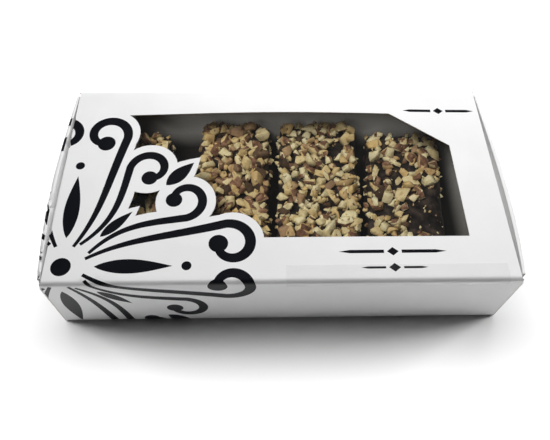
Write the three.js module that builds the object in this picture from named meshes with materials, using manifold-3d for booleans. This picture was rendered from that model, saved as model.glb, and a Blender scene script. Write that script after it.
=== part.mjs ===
// A flat paperboard carton of four nut-covered toffee bars, seen through a die-cut window.
// Millimetres, +X along the carton's length, +Y towards its back, +Z up.
// The origin is at the middle of the carton's underside.
import * as THREE from 'three';
import { mergeVertices } from 'three/addons/utils/BufferGeometryUtils.js';
import Module from 'manifold-3d';

const wasm = await Module();
wasm.setup();

// Carton: a folded board with a top panel that swells a little
const PANEL_LENGTH = 190.5;
const CARTON_DEPTH = 101.6;
const CARTON_HEIGHT = 38.1;
const BOARD = 0.6;
const FOLD_RADIUS = 0.9;
const TOP_EDGE = CARTON_DEPTH / 2 - FOLD_RADIUS; // the top panel is flat between its folds as far as this
const SWELL = 2.7; // height of the swelling at its crown
const SWELL_SKEW = 2.37; // above 1 moves the crown towards the back
const SWELL_STEPS_X = 14;
const SWELL_STEPS_Y = 12;

// End closures: each panel rises from the bottom, folds over and tucks in under the top panel.
// Its upper edge bows outwards, which opens a seam beside the top panel.
const CLOSURE_STAND = 0.7; // how far the closure's face stands outside the ends of the front and back
const CLOSURE_BOW = 3.1; // how much farther out it stands where it bows most
const CLOSURE_BOW_SKEW = 0.82; // below 1 moves the greatest bow towards the front
const CLOSURE_STEPS = 8;
const CLOSURE_FOLD = 0.7;
const CLOSURE_FOLD_TURN = 130; // degrees that the fold bends before it runs down under the top panel
const CLOSURE_SIDE_GAP = 0.2;
const CLOSURE_CORNER = 2.8; // the fold and the tuck end this far short of the closure's sides
const CREST_SHARE = 0.7; // share of the bow that the fold's inner end takes
const FOOT_SHARE = 0.55; // share of the bow that the tuck's bend takes
const TOP_PANEL_SHORT = 0.6;
const SEAM_SIDE = 0.4;
const TUCK_REACH = 14;
const TUCK_DROP = 2.2;
const TUCK_FOOT = 0.65; // the tuck bends this far inside the ends of the front and back
const DUST_FLAP_REACH = 28;
const DUST_FLAP_LOW = 1.2;
const DUST_FLAP_HIGH = 34;

// Window: a rectangle with one corner cut off, less the ground that the printed ornament keeps
const WINDOW_LEFT = -75;
const WINDOW_RIGHT = 77.3;
const WINDOW_NEAR = -30.5;
const WINDOW_FAR = 35.4;
const CORNER_CUT_X = 25.8;
const CORNER_CUT_Y = 18.6;

// Ornament: stems fan out from a centre near the left front corner, each alike across the diagonal
const ORNAMENT_CENTRE = [-88, -43];
const ORNAMENT_MARGIN = 3.2; // white board left beside the print
const OUTER_STEM = { root: [3.5, 9], lead: [13, 26], eye: [9.8, 67], reach: 9.6, start: -14, pull: 28,
  widths: [1.4, 4.4, 3.0], crown: [11.2, 67.2, 10.1] };
const INNER_STEM = { root: [6, 10], lead: [19, 21], eye: [31, 47], reach: 9, start: 172, pull: 17,
  widths: [1.4, 3.8, 2.8], crown: [30.2, 47.4, 9.6] };
const TIP_LEAF = { base: 38.5, tip: 50, width: 6.4 };
const BUD_LEAF = { base: 13.5, tip: 25.5, width: 4.4 };
const STEM_STEPS = 9;
const CROWN_SIDES = 36;
const LEAF_STEPS = 6;

// Clear film glued under the top panel
const FILM = 0.25;
const FILM_GAP = 0.3;
const FILM_LAP = 2.4;
const FILM_STEPS_X = 8;
const FILM_STEPS_Y = 7;

// Clear closing tape over the front fold
const TAPE = 0.15;
const TAPE_GAP = 0.1;
const TAPE_LEFT = 1;
const TAPE_RIGHT = 90;
const TAPE_ON_TOP = 7.5;
const TAPE_ON_FRONT = 2.4;

// Tray: a formed plastic tub with leaning walls, a rim and round corners
const TRAY_FLOOR_LENGTH = 170;
const TRAY_FLOOR_DEPTH = 89.8;
const TRAY_HEIGHT = 28;
const TRAY_LEAN_ENDS = 0.3; // sideways step of a wall for each millimetre of height
const TRAY_LEAN_SIDES = 0.155;
const TRAY_WALL = 0.6;
const TRAY_CORNER = 8;
const TRAY_RIM = 0.7;
const TRAY_CORNER_STEPS = 5;
const TRAY_LIFT = BOARD + 0.3;

// Bars: a toffee core dipped in dark chocolate, with chopped nuts fused all over its top.
// They are cut by hand, so no two are alike. Each lies a little askew, turned by some degrees.
const BARS = [
  { x: -68, y: -1.8, turn: -0.5, width: 32, length: 82 },
  { x: -21.4, y: 1.4, turn: -0.6, width: 33.5, length: 87.5 },
  { x: 18, y: 1.2, turn: -2.5, width: 37.8, length: 87 },
  { x: 58.4, y: -2.6, turn: -4.5, width: 35.4, length: 82.5 },
];
const BAR_HEIGHT = 19;
const BAR_CORNER = 6.5;
const BAR_EDGE = 3; // width of the rounding all round
const BAR_LIFT = TRAY_LIFT + TRAY_WALL + 0.3;
const NUT_COLUMNS = 5;
const NUT_ROWS = 12;
const NUT_SIZES = [2, 3.3]; // half lengths of the smallest and the largest piece
const SIDE_NUTS = 6;
const SIDE_NUT_INSET = 1.3;
const NUT_SEED = 30;
// Bare places on each bar's top, as rounds given by their middle and radius
const BARE_PLACES = [
  [],
  [[9.8, 32.5, 4]],
  [[7.5, 26.5, 5]],
  [[9.5, -5, 8], [13.5, -14, 6.5], [12, 4, 3.5], [-3, 8.5, 3]],
];

const COLOURS = {
  board: { color: 0xf1f0ee, roughness: 0.45, metalness: 0 },
  film: { color: 0xe9eef0, roughness: 0.05, metalness: 0, transparent: true, opacity: 0.25 },
  tape: { color: 0xf2f3f1, roughness: 0.15, metalness: 0, transparent: true, opacity: 0.3 },
  tray: { color: 0x2b2a27, roughness: 0.35, metalness: 0 },
  bar: { color: 0x8c6a45, roughness: 0.6, metalness: 0 },
};

// A closed geometry as a solid that can be joined and cut
function toSolid(geometry) {
  const bare = geometry.clone();
  bare.deleteAttribute('normal');
  bare.deleteAttribute('uv');
  const merged = mergeVertices(bare, 1e-4);
  return new wasm.Manifold(new wasm.Mesh({
    numProp: 3,
    vertProperties: new Float32Array(merged.attributes.position.array),
    triVerts: new Uint32Array(merged.index.array),
  }));
}

function toGeometry(solid) {
  const mesh = solid.getMesh();
  const geometry = new THREE.BufferGeometry();
  geometry.setAttribute('position', new THREE.BufferAttribute(new Float32Array(mesh.vertProperties), 3));
  geometry.setIndex(new THREE.BufferAttribute(new Uint32Array(mesh.triVerts), 1));
  return geometry;
}

function joinAll(solids) {
  return solids.reduce((joined, solid) => joined.add(solid));
}

function box(low, high) {
  const size = high.map((value, axis) => value - low[axis]);
  const geometry = new THREE.BoxGeometry(...size);
  geometry.translate(...low.map((value, axis) => value + size[axis] / 2));
  return toSolid(geometry);
}

function shapeOf(points) {
  return new THREE.Shape(points.map(([x, y]) => new THREE.Vector2(x, y)));
}

// An upright prism over an outline in X and Y
function uprightPrism(points, low, high) {
  const geometry = new THREE.ExtrudeGeometry(shapeOf(points), { depth: high - low, bevelEnabled: false });
  geometry.translate(0, 0, low);
  return toSolid(geometry);
}

// Turns an extrusion to run along X from low, so that its outline stands in Y and Z
function standAlongX(geometry, low) {
  const turn = new THREE.Matrix4().makeBasis(
    new THREE.Vector3(0, 1, 0), new THREE.Vector3(0, 0, 1), new THREE.Vector3(1, 0, 0));
  geometry.applyMatrix4(turn);
  geometry.translate(low, 0, 0);
}

// A solid along Y whose outline in X and Z changes from station to station, but not in its number of points
function loftAlongY(outlines, stations) {
  const count = outlines[0].length;
  const points = outlines.flatMap((outline, i) => outline.flatMap(([x, z]) => [x, stations[i], z]));
  const faces = [];
  for (let i = 0; i < stations.length - 1; i += 1) {
    for (let j = 0; j < count; j += 1) {
      const a = i * count + j;
      const b = i * count + (j + 1) % count;
      faces.push(a, b + count, b, a, a + count, b + count);
    }
  }
  const last = (stations.length - 1) * count;
  const flat = [outlines[0], outlines[outlines.length - 1]].map((outline) => (
    THREE.ShapeUtils.triangulateShape(outline.map(([x, z]) => new THREE.Vector2(x, z)), [])));
  flat[0].forEach(([a, b, c]) => faces.push(a, b, c));
  flat[1].forEach(([a, b, c]) => faces.push(last + a, last + c, last + b));
  const geometry = new THREE.BufferGeometry();
  geometry.setAttribute('position', new THREE.Float32BufferAttribute(points, 3));
  geometry.setIndex(faces);
  return toSolid(geometry);
}

function arcPoints(x, y, radius, from, to, steps) {
  return Array.from({ length: steps + 1 }, (_, i) => {
    const angle = THREE.MathUtils.degToRad(from + (to - from) * i / steps);
    return [x + radius * Math.cos(angle), y + radius * Math.sin(angle)];
  });
}

// Height that the swelling adds at a place on the top panel
function swellAt(x, y) {
  const along = Math.cos(Math.PI * x / PANEL_LENGTH) ** 2;
  const share = THREE.MathUtils.clamp((y + TOP_EDGE) / (2 * TOP_EDGE), 0, 1);
  return SWELL * along * Math.sin(Math.PI * share ** SWELL_SKEW);
}

// Lifts what lies in the plane of the top panel, by the swelling
function swell(geometry, lowest) {
  const place = geometry.attributes.position;
  for (let i = 0; i < place.count; i += 1) {
    const [x, y, z] = [place.getX(i), place.getY(i), place.getZ(i)];
    if (z >= lowest) place.setZ(i, z + swellAt(x, y));
  }
}

// A flat sheet that follows the swelling, its top at the given height before it swells
function swollenSheet(left, right, near, far, top, thickness, stepsX, stepsY) {
  const geometry = new THREE.BoxGeometry(right - left, far - near, thickness, stepsX, stepsY, 1);
  geometry.translate((left + right) / 2, (near + far) / 2, top - thickness / 2);
  swell(geometry, top - 2 * thickness);
  return toSolid(geometry);
}

// Outline of the sleeve in Y and Z at one face of the board, with points along its top that can swell
function sleeveOutline(inset) {
  const radius = FOLD_RADIUS - inset;
  const steps = inset ? 1 : 3;
  const low = FOLD_RADIUS;
  const high = CARTON_HEIGHT - FOLD_RADIUS;
  const top = Array.from({ length: SWELL_STEPS_Y - 1 }, (_, i) => (
    [TOP_EDGE * (1 - 2 * (i + 1) / SWELL_STEPS_Y), CARTON_HEIGHT - inset]));
  return [
    ...arcPoints(TOP_EDGE, high, radius, 0, 90, steps),
    ...top,
    ...arcPoints(-TOP_EDGE, high, radius, 90, 180, steps),
    ...arcPoints(-TOP_EDGE, low, radius, 180, 270, steps),
    ...arcPoints(TOP_EDGE, low, radius, 270, 360, steps),
  ];
}

// The top, front, bottom and back panels, folded into one sleeve that is open at both ends
function sleeve() {
  const shape = shapeOf(sleeveOutline(0));
  shape.holes.push(shapeOf(sleeveOutline(BOARD)));
  const geometry = new THREE.ExtrudeGeometry(shape, {
    depth: PANEL_LENGTH, steps: SWELL_STEPS_X, bevelEnabled: false });
  standAlongX(geometry, -PANEL_LENGTH / 2);
  swell(geometry, CARTON_HEIGHT - BOARD);
  const end = PANEL_LENGTH / 2 - TOP_PANEL_SHORT;
  const side = TOP_EDGE - SEAM_SIDE;
  const cuts = [-1, 1].map((hand) => {
    const [left, right] = [hand * end, hand * (end + 2)].sort((a, b) => a - b);
    return box([left, -side, CARTON_HEIGHT - BOARD - TUCK_DROP], [right, side, CARTON_HEIGHT + 1]);
  });
  return toSolid(geometry).subtract(joinAll(cuts));
}

// How far the upper edge of a closure bows outwards at a place along its width
function bowAt(y) {
  const share = THREE.MathUtils.clamp(y / CARTON_DEPTH + 0.5, 0, 1);
  return CLOSURE_BOW * Math.sin(Math.PI * share ** CLOSURE_BOW_SKEW);
}

// Outline of a right-hand closure where nothing bows it: places in X and Z, each with its share of the bow
function closureOutline() {
  const seam = PANEL_LENGTH / 2;
  const face = seam + CLOSURE_STAND;
  const foldX = face - CLOSURE_FOLD;
  const foldZ = CARTON_HEIGHT - CLOSURE_FOLD;
  const foot = seam - TUCK_FOOT;
  const tuckTop = CARTON_HEIGHT - BOARD - TUCK_DROP;
  const tuckEnd = seam - TUCK_REACH;
  const crest = (radius, steps) => arcPoints(foldX, foldZ, radius, 0, CLOSURE_FOLD_TURN, steps)
    .map(([x, z], i) => [x, z, 1 - (1 - CREST_SHARE) * i / steps]);
  return [
    [seam - BOARD, 0, 0],
    ...arcPoints(face - FOLD_RADIUS, FOLD_RADIUS, FOLD_RADIUS, 270, 360, 3).map(([x, z]) => [x, z, 1]),
    ...crest(CLOSURE_FOLD, 5),
    [foot, tuckTop, FOOT_SHARE],
    [tuckEnd, tuckTop, 0],
    [tuckEnd, tuckTop - BOARD, 0],
    [foot + BOARD, tuckTop - BOARD, FOOT_SHARE],
    ...crest(CLOSURE_FOLD - BOARD, 2).reverse(),
    [face - BOARD, FOLD_RADIUS, 1],
    [face - FOLD_RADIUS, BOARD, 1],
    [seam - BOARD, BOARD, 0],
  ];
}

// One end closure and its two dust flaps; side is 1 for the right end and -1 for the left
function endClosure(side) {
  const seam = PANEL_LENGTH / 2;
  const half = CARTON_DEPTH / 2;
  const width = 2 * (half - CLOSURE_SIDE_GAP);
  const stations = Array.from({ length: CLOSURE_STEPS + 1 }, (_, i) => (i / CLOSURE_STEPS - 0.5) * width);
  const outlines = stations.map((y) => {
    const outline = closureOutline().map(([x, z, share]) => (
      [side * (x + bowAt(y) * share * z / CARTON_HEIGHT), z]));
    return side > 0 ? outline : outline.reverse();
  });
  const cornerLow = CARTON_HEIGHT - 2 * BOARD - TUCK_DROP - 0.1;
  const corners = [-1, 1].map((end) => {
    const [near, far] = [end * (half - CLOSURE_CORNER), end * (half + 1)].sort((a, b) => a - b);
    const [left, right] = [side * (seam - TUCK_REACH - 1), side * (seam + 2 * CLOSURE_BOW)].sort((a, b) => a - b);
    return box([left, near, cornerLow], [right, far, CARTON_HEIGHT + 1]);
  });
  const closure = loftAlongY(outlines, stations).subtract(joinAll(corners));
  const flaps = [-1, 1].map((end) => {
    const [near, far] = [end * half, end * (half - DUST_FLAP_REACH)].sort((a, b) => a - b);
    const [low, high] = [side * (seam - BOARD), side * seam].sort((a, b) => a - b);
    return box([low, near + (end < 0 ? BOARD / 2 : 0), DUST_FLAP_LOW],
      [high, far - (end > 0 ? BOARD / 2 : 0), DUST_FLAP_HIGH]);
  });
  return joinAll([closure, ...flaps]);
}

// Places in the ornament are given from its centre
function fromCentre([a, b]) {
  return [ORNAMENT_CENTRE[0] + a, ORNAMENT_CENTRE[1] + b];
}

// The same place on the other side of the ornament's diagonal
function acrossDiagonal([a, b]) {
  return [b, a];
}

// A band along a line of points, its width running through three values
function bandAround(line, widths, margin) {
  const [first, middle, last] = widths.map((width) => width + 2 * margin);
  const left = [];
  const right = [];
  line.forEach(([x, y], i) => {
    const before = line[Math.max(i - 1, 0)];
    const after = line[Math.min(i + 1, line.length - 1)];
    const length = Math.hypot(after[0] - before[0], after[1] - before[1]);
    const share = i / (line.length - 1);
    const swelling = (middle - (first + last) / 2) * Math.sin(Math.PI * share);
    const half = (first + (last - first) * share + swelling) / 2;
    const sideways = [-(after[1] - before[1]) / length * half, (after[0] - before[0]) / length * half];
    left.push([x + sideways[0], y + sideways[1]]);
    right.push([x - sideways[0], y - sideways[1]]);
  });
  return [...right, ...left.reverse()];
}

// Ground kept round a stem: a band as far as its curl, and a disc round the curl
function stemGround(stem) {
  const start = THREE.MathUtils.degToRad(stem.start);
  const heading = start + (stem.start < 90 ? Math.PI / 2 : -Math.PI / 2);
  const join = [stem.eye[0] + stem.reach * Math.cos(start), stem.eye[1] + stem.reach * Math.sin(start)];
  const before = [join[0] - stem.pull * Math.cos(heading), join[1] - stem.pull * Math.sin(heading)];
  const curve = new THREE.CubicBezierCurve(
    ...[stem.root, stem.lead, before, join].map(([a, b]) => new THREE.Vector2(a, b)));
  const line = curve.getPoints(STEM_STEPS).map((point) => [point.x, point.y]);
  const [a, b, radius] = stem.crown;
  return [
    bandAround(line, stem.widths, ORNAMENT_MARGIN),
    arcPoints(a, b, radius + ORNAMENT_MARGIN, 0, 360, CROWN_SIDES).slice(0, -1),
  ];
}

// Ground kept round a pointed leaf that lies on the diagonal
function leafGround({ base, tip, width }) {
  const low = base - ORNAMENT_MARGIN / Math.SQRT2;
  const high = tip + ORNAMENT_MARGIN / Math.SQRT2 * 1.2;
  const half = width / 2 + ORNAMENT_MARGIN;
  const left = [];
  const right = [];
  for (let i = 0; i <= LEAF_STEPS; i += 1) {
    const share = i / LEAF_STEPS;
    const along = low + (high - low) * share;
    const aside = half * Math.sin(Math.PI * share ** 0.8) / Math.SQRT2;
    left.push([along - aside, along + aside]);
    right.push([along + aside, along - aside]);
  }
  return [...right, ...left.slice(1, -1).reverse()];
}

// The cut through the top panel: the window's outline less the ornament's ground
function windowCut() {
  const outline = [
    [WINDOW_LEFT, WINDOW_NEAR],
    [WINDOW_RIGHT, WINDOW_NEAR],
    [WINDOW_RIGHT, WINDOW_FAR - CORNER_CUT_Y],
    [WINDOW_RIGHT - CORNER_CUT_X, WINDOW_FAR],
    [WINDOW_LEFT, WINDOW_FAR],
  ];
  const below = CARTON_HEIGHT - BOARD - 0.1;
  const above = CARTON_HEIGHT + SWELL + 1;
  const stems = [OUTER_STEM, INNER_STEM].flatMap(stemGround);
  const mirrored = stems.map((points) => points.map(acrossDiagonal).reverse());
  const grounds = [...stems, ...mirrored, leafGround(TIP_LEAF), leafGround(BUD_LEAF)];
  const kept = grounds.map((points) => uprightPrism(points.map(fromCentre), below - 1, above + 1));
  return uprightPrism(outline, below, above).subtract(joinAll(kept));
}

function carton() {
  return joinAll([sleeve(), endClosure(1), endClosure(-1)]).subtract(windowCut());
}

function windowFilm() {
  return swollenSheet(WINDOW_LEFT - FILM_LAP, WINDOW_RIGHT + FILM_LAP, WINDOW_NEAR - FILM_LAP,
    WINDOW_FAR + FILM_LAP, CARTON_HEIGHT - BOARD - FILM_GAP, FILM, FILM_STEPS_X, FILM_STEPS_Y);
}

// The tape bends round the front top fold
function closingTape() {
  const front = -CARTON_DEPTH / 2;
  const inside = FOLD_RADIUS + TAPE_GAP;
  const outside = inside + TAPE;
  const foldY = front + FOLD_RADIUS;
  const foldZ = CARTON_HEIGHT - FOLD_RADIUS;
  const outline = [
    [front + TAPE_ON_TOP, CARTON_HEIGHT + TAPE_GAP],
    [front + TAPE_ON_TOP, CARTON_HEIGHT + TAPE_GAP + TAPE],
    ...arcPoints(foldY, foldZ, outside, 90, 180, 4),
    [front - TAPE_GAP - TAPE, foldZ - TAPE_ON_FRONT],
    [front - TAPE_GAP, foldZ - TAPE_ON_FRONT],
    ...arcPoints(foldY, foldZ, inside, 180, 90, 4),
  ];
  const geometry = new THREE.ExtrudeGeometry(shapeOf(outline), {
    depth: TAPE_RIGHT - TAPE_LEFT, bevelEnabled: false });
  standAlongX(geometry, TAPE_LEFT);
  return toSolid(geometry);
}

function roundedRectangle(length, depth, radius, steps) {
  const x = length / 2 - radius;
  const y = depth / 2 - radius;
  return [
    ...arcPoints(x, y, radius, 0, 90, steps),
    ...arcPoints(-x, y, radius, 90, 180, steps),
    ...arcPoints(-x, -y, radius, 180, 270, steps),
    ...arcPoints(x, -y, radius, 270, 360, steps),
  ];
}

// A block with a rounded outline whose walls lean outwards as they rise
function leaningBlock(length, depth, low, high, radius) {
  const outline = roundedRectangle(length, depth, radius, TRAY_CORNER_STEPS);
  const geometry = new THREE.ExtrudeGeometry(shapeOf(outline), { depth: high - low, bevelEnabled: false });
  const place = geometry.attributes.position;
  for (let i = 0; i < place.count; i += 1) {
    const height = place.getZ(i);
    place.setX(i, place.getX(i) * (1 + 2 * height * TRAY_LEAN_ENDS / length));
    place.setY(i, place.getY(i) * (1 + 2 * height * TRAY_LEAN_SIDES / depth));
  }
  geometry.translate(0, 0, low);
  return toSolid(geometry);
}

function tray() {
  const top = TRAY_LIFT + TRAY_HEIGHT;
  const rimLength = TRAY_FLOOR_LENGTH + 2 * TRAY_HEIGHT * TRAY_LEAN_ENDS + 2 * TRAY_RIM;
  const rimDepth = TRAY_FLOOR_DEPTH + 2 * TRAY_HEIGHT * TRAY_LEAN_SIDES + 2 * TRAY_RIM;
  const tub = leaningBlock(TRAY_FLOOR_LENGTH + 2 * TRAY_WALL, TRAY_FLOOR_DEPTH + 2 * TRAY_WALL,
    TRAY_LIFT, top, TRAY_CORNER + TRAY_WALL);
  const rim = uprightPrism(roundedRectangle(rimLength, rimDepth, TRAY_CORNER + TRAY_RIM, TRAY_CORNER_STEPS),
    top - TRAY_WALL, top);
  const hollow = leaningBlock(TRAY_FLOOR_LENGTH, TRAY_FLOOR_DEPTH, TRAY_LIFT + TRAY_WALL, top + 2,
    TRAY_CORNER);
  return tub.add(rim).subtract(hollow);
}

// The same run of draws for the same seed
function makeRandom(seed) {
  let state = seed;
  return (low, high) => {
    state = (Math.imul(state, 1664525) + 1013904223) >>> 0;
    return low + (high - low) * state / 4294967296;
  };
}

// One chopped nut: a 20-sided lump stretched and turned at random, sunk a little into the bar
function nut(random, x, y, z, size) {
  const geometry = new THREE.IcosahedronGeometry(1, 0);
  const stretch = [size, size * random(0.6, 0.85), size * random(0.45, 0.7)];
  geometry.scale(...stretch);
  geometry.rotateX(random(-0.6, 0.6));
  geometry.rotateY(random(-0.6, 0.6));
  geometry.rotateZ(random(0, Math.PI * 2));
  geometry.translate(x, y, z + stretch[2] * random(0.1, 0.6));
  return toSolid(geometry);
}

function barCore({ width, length }) {
  const outline = roundedRectangle(width - 2 * BAR_EDGE, length - 2 * BAR_EDGE, BAR_CORNER - BAR_EDGE, 3);
  const geometry = new THREE.ExtrudeGeometry(shapeOf(outline), {
    depth: BAR_HEIGHT - 2 * BAR_EDGE, bevelSize: BAR_EDGE, bevelThickness: BAR_EDGE, bevelSegments: 2 });
  geometry.translate(0, 0, BAR_EDGE);
  return toSolid(geometry);
}

function isBare(index, x, y) {
  return BARE_PLACES[index].some(([placeX, placeY, radius]) => Math.hypot(x - placeX, y - placeY) < radius);
}

// Nuts sit in a loose grid over the top, with some along the upper edges of the sides
function bar(index) {
  const { width, length } = BARS[index];
  const random = makeRandom(NUT_SEED + index);
  const nuts = [];
  const stepX = (width - 4) / NUT_COLUMNS;
  const stepY = (length - 4) / NUT_ROWS;
  for (let row = 0; row < NUT_ROWS; row += 1) {
    for (let column = 0; column < NUT_COLUMNS; column += 1) {
      const x = (column + 0.5 - NUT_COLUMNS / 2 + random(-0.3, 0.3)) * stepX;
      const y = (row + 0.5 - NUT_ROWS / 2 + random(-0.3, 0.3)) * stepY;
      const size = random(...NUT_SIZES);
      if (!isBare(index, x, y)) nuts.push(nut(random, x, y, BAR_HEIGHT, size));
    }
  }
  for (let i = 0; i < SIDE_NUTS; i += 1) {
    const side = i % 2 ? 1 : -1;
    const x = side * (width / 2 - SIDE_NUT_INSET);
    const y = ((i + 0.5) / SIDE_NUTS - 0.5) * (length - 8);
    nuts.push(nut(random, x, y, BAR_HEIGHT - 3 + random(-2, 2), NUT_SIZES[0]));
  }
  return joinAll([barCore(BARS[index]), ...nuts]);
}

function addPart(group, name, solid, finish) {
  const mesh = new THREE.Mesh(toGeometry(solid), new THREE.MeshStandardMaterial(finish));
  mesh.name = name;
  group.add(mesh);
  return mesh;
}

const group = new THREE.Group();
addPart(group, 'carton', carton(), COLOURS.board);
addPart(group, 'window_film', windowFilm(), COLOURS.film);
addPart(group, 'closing_tape', closingTape(), COLOURS.tape);
addPart(group, 'tray', tray(), COLOURS.tray);
BARS.forEach(({ x, y, turn }, index) => {
  const mesh = addPart(group, `bar_${index + 1}`, bar(index), COLOURS.bar);
  mesh.position.set(x, y, BAR_LIFT);
  mesh.rotation.z = THREE.MathUtils.degToRad(turn);
});

export default group;
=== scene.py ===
# A flat paperboard carton of nut-covered chocolate toffee bars, seen through its die-cut window.
# The frame gives the solids that these pieces stand for. Lengths are millimetres until a mesh is made.
import math

import bmesh
import bpy
import numpy as np
from mathutils import Euler, Matrix, Vector, noise
from mathutils.geometry import delaunay_2d_cdt


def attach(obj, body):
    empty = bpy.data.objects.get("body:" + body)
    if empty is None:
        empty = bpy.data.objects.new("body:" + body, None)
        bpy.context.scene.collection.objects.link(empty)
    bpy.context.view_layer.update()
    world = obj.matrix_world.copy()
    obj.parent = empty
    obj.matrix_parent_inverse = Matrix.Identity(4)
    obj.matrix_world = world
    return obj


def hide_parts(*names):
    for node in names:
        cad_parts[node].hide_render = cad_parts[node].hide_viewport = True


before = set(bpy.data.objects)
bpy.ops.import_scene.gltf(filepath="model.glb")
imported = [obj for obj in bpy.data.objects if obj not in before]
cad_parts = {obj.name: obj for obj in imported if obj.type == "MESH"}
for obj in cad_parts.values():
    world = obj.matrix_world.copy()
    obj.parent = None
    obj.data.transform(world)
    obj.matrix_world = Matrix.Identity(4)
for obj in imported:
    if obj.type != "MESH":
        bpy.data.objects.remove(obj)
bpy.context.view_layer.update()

MM = 0.001
SAME_PLACE = 0.001 # points that are this near each other are one

# Carton, as the solids have it
PANEL_LENGTH = 190.5
CARTON_DEPTH = 101.6
CARTON_HEIGHT = 38.1
BOARD = 0.6
FOLD_RADIUS = 0.9
FRONT_FOLD = 2.0 # the two folds along the front are rounder than the solid's
TOP_EDGE = CARTON_DEPTH / 2 - FOLD_RADIUS
SWELL = 2.7
SWELL_SKEW = 2.37
CLOSURE_STAND = 0.7
CLOSURE_BOW = 3.1
CLOSURE_BOW_SKEW = 0.82
CLOSURE_FOLD = 0.7
CLOSURE_FOLD_TURN = 130
CLOSURE_SIDE_GAP = 0.2
CLOSURE_CORNER = 2.8
CREST_SHARE = 0.7
FOOT_SHARE = 0.55
TOP_PANEL_SHORT = 0.6
TUCK_REACH = 14
TUCK_DROP = 2.2
TUCK_FOOT = 0.65
CORNER_LOW = CARTON_HEIGHT - 2 * BOARD - TUCK_DROP - 0.1 # just under the tuck
DUST_FLAP_REACH = 28
DUST_FLAP_LOW = 1.2
DUST_FLAP_HIGH = 34
WINDOW_LEFT = -75
WINDOW_RIGHT = 77.3
WINDOW_NEAR = -30.5
WINDOW_FAR = 35.4
CORNER_CUT_X = 25.8
CORNER_CUT_Y = 18.6

# How finely the board is divided
ROUND_STEPS = 8 # of a fold, a foot or a corner
CREST_STEPS = 10
FOOT_STEPS = 6
SLEEVE_ROW = 3.0
CLOSURE_ROW = 3.2
BOARD_COLUMN = 3.4
FLAP_CELL = 6
SHEET_CELL = 2.5
LINE_CLEARANCE = 0.12 # grid points this near a drawn line are left out
CREASE = 40 # a bend of more degrees than this is a sharp edge

# Ornament: stems and leaves fan out from a centre near the left front corner
ORNAMENT_CENTRE = (-88, -43)
ORNAMENT_MARGIN = 3.2
OUTER_STEM = {"root": (3.5, 9), "lead": (13, 26), "eye": (9.8, 67), "reach": 9.6, "start": -14,
              "turn": 285, "pull": 28, "widths": (1.4, 4.4, 3.0), "inner": 5.2, "bulb": 4.0,
              "crown": (11.2, 67.2, 10.1)}
INNER_STEM = {"root": (6, 10), "lead": (19, 21), "eye": (31, 47), "reach": 9, "start": 172,
              "turn": -262, "pull": 17, "widths": (1.4, 3.8, 2.8), "inner": 4.6, "bulb": 3.5,
              "crown": (30.2, 47.4, 9.6)}
CURL_SKEW = 0.9
TIP_LEAF = (38.5, 50, 6.4) # from where to where it reaches, and its width
BUD_LEAF = (13.5, 25.5, 4.4)
LONG_LEAF = (13, 44, 6.4)
LEAF_SKEW = 0.8 # below 1 a leaf is widest nearer its base
LEAF_TIP_MARGIN = 1.2
LONG_LEAF_DOT = (49.5, 2.0)
CENTRE_DOT = 4.0
GROUND_STEPS = 9
CROWN_SIDES = 36
GROUND_LEAF_STEPS = 6
STEM_STEPS = 26
CURL_STEPS = 44
LEAF_STEPS = 16
DISC_SIDES = 28
DOT_SIDES = 20

# Plain marks stand where lettering would be,
# by their middles, half lengths and thicknesses
RULES = ((44.5, -37.4, 22.0, 1.5), (44.5, -44.6, 13.5, 1.0), (75.5, 37.5, 17.0, 1.6))
RULE_TAPER = 0.8 # share of a rule's half length where it starts to taper
DIAMOND = 2.4
DIAMOND_SHARE = 0.8 # its height by its width
DIAMOND_CLEAR = 1.5

# Film, tape and tray, as the solids have them
FILM = 0.25
FILM_GAP = 0.3
FILM_LAP = 2.4
TAPE = 0.15
TAPE_GAP = 0.1
TAPE_LEFT = 1
TAPE_RIGHT = 90
TAPE_ON_TOP = 7.5
TAPE_ON_FRONT = 2.4
TRAY_FLOOR_LENGTH = 170
TRAY_FLOOR_DEPTH = 89.8
TRAY_HEIGHT = 28
TRAY_LEAN_ENDS = 0.3
TRAY_LEAN_SIDES = 0.155
TRAY_WALL = 0.6
TRAY_CORNER = 8
TRAY_RIM = 0.7
TRAY_LIFT = BOARD + 0.3
TRAY_FOOT_RADIUS = 3.0

# Film, tape and tray, finer than the solids
THINNER = 0.4 # thickness of the film and the tape by that of their solids
FILM_SAG = 0.08
RIPPLE_HEIGHT = 0.06
RIPPLE_ALONG = 0.31
RIPPLE_ACROSS = 0.19
RIPPLE_START = 0.7
RIPPLE_SWAY = 1.5
RIPPLE_BEND = 0.13
TAPE_COLUMN = 3
TAPE_ROW = 1.0
RIM_FLAT = 0.3
RIM_BEVEL = 0.15
RIM_LIP = 0.5
TRAY_WALL_STEPS = 12
TRAY_CREASE = 50

# Bars, as the solids have them
BARS = (
    {"x": -68, "y": -1.8, "turn": -0.5, "width": 32, "length": 82},
    {"x": -21.4, "y": 1.4, "turn": -0.6, "width": 33.5, "length": 87.5},
    {"x": 18, "y": 1.2, "turn": -2.5, "width": 37.8, "length": 87},
    {"x": 58.4, "y": -2.6, "turn": -4.5, "width": 35.4, "length": 82.5},
)
BAR_HEIGHT = 19
BAR_LIFT = TRAY_LIFT + TRAY_WALL + 0.3
NUT_SEED = 30
NUT_COLUMNS = 5
NUT_ROWS = 12
NUT_BORDER = 4
NUT_SHIFT = 0.3
NUT_SIZES = (2, 3.3)
NUT_FORM = ((0.6, 0.85), (0.45, 0.7), 0.6) # width and height by the length, and the lean in radians
NUT_RISE = (0.1, 0.6)
SIDE_NUTS = 6
SIDE_NUT_INSET = 1.3
SIDE_NUT_ENDS = 8
SIDE_NUT_DROP = 3
SIDE_NUT_SHIFT = 2
BARE_PLACES = (
    (),
    ((9.8, 32.5, 4),),
    ((7.5, 26.5, 5),),
    ((9.5, -5, 8), (13.5, -14, 6.5), (12, 4, 3.5), (-3, 8.5, 3)),
)

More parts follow.
